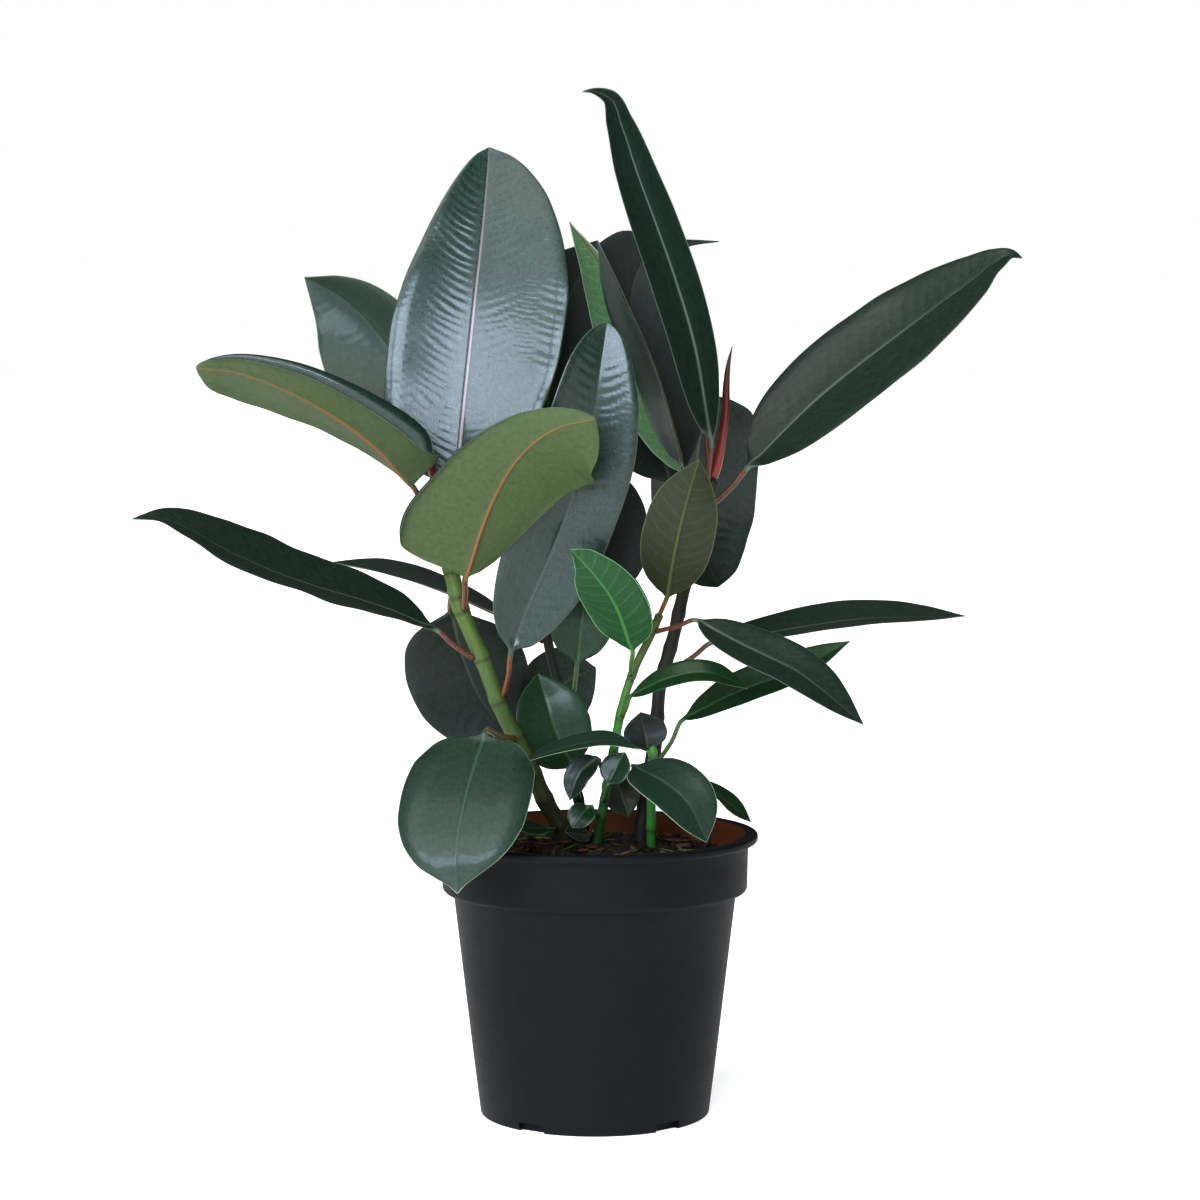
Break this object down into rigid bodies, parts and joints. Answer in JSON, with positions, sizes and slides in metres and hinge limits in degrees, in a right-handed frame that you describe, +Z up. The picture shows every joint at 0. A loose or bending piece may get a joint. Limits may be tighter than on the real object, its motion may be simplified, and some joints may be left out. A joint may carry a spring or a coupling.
{
  "type": "potted rubber plant",
  "caption": "Bushy rubber plant with large dark glossy oval leaves on slim stems, rooted in a round tapered black nursery pot with a rolled lip.",
  "frame": {"origin": "middle of the pot's flat foot, on the pot's axis, where it meets the surface it stands on", "axes": "+Z up along the pot's axis, front of the plant towards -Y, +X to the right seen from the front"},
  "size_m": [0.5129, 0.2399, 0.5969],
  "materials": {
    "pot_shell": "matte",
    "potting_mix": "matte",
    "green_bark": "satin",
    "dark_bark": "matte",
    "young_stem": "satin",
    "bud_sheath": "gloss",
    "mature_leaf": "satin",
    "young_leaf": "satin"
  },
  "bodies": {
    "root": {"pot": "pot_shell", "soil": "potting_mix", "stem_left": "green_bark", "bud_sheath_left": "bud_sheath", "leaf_left_1": "mature_leaf", "leaf_left_2": "mature_leaf", "leaf_left_3": "mature_leaf", "leaf_left_4": "mature_leaf", "leaf_left_5": "mature_leaf", "leaf_left_6": "mature_leaf", "leaf_left_7": "mature_leaf", "leaf_left_8": "mature_leaf", "leaf_left_9": "mature_leaf", "leaf_left_10": "young_leaf", "stem_right": "dark_bark", "bud_sheath_right": "bud_sheath", "leaf_right_1": "mature_leaf", "leaf_right_2": "mature_leaf", "leaf_right_3": "mature_leaf", "leaf_right_4": "mature_leaf", "leaf_right_5": "mature_leaf", "leaf_right_6": "mature_leaf", "leaf_right_7": "mature_leaf", "leaf_right_8": "mature_leaf", "stem_slender": "young_stem", "leaf_slender_1": "young_leaf", "leaf_slender_2": "mature_leaf", "leaf_slender_3": "young_leaf", "leaf_slender_4": "young_leaf", "leaf_slender_5": "young_leaf", "leaf_slender_6": "mature_leaf", "leaf_slender_7": "mature_leaf", "leaf_slender_8": "mature_leaf", "stem_back": "dark_bark", "leaf_back_1": "mature_leaf", "leaf_back_2": "mature_leaf", "leaf_back_3": "mature_leaf", "leaf_back_4": "young_leaf", "leaf_back_5": "mature_leaf", "leaf_back_6": "young_leaf", "leaf_back_7": "mature_leaf", "shoot_front": "young_stem", "leaf_shoot_1": "mature_leaf", "leaf_shoot_2": "mature_leaf", "leaf_shoot_3": "mature_leaf"}
  },
  "joints": []
}
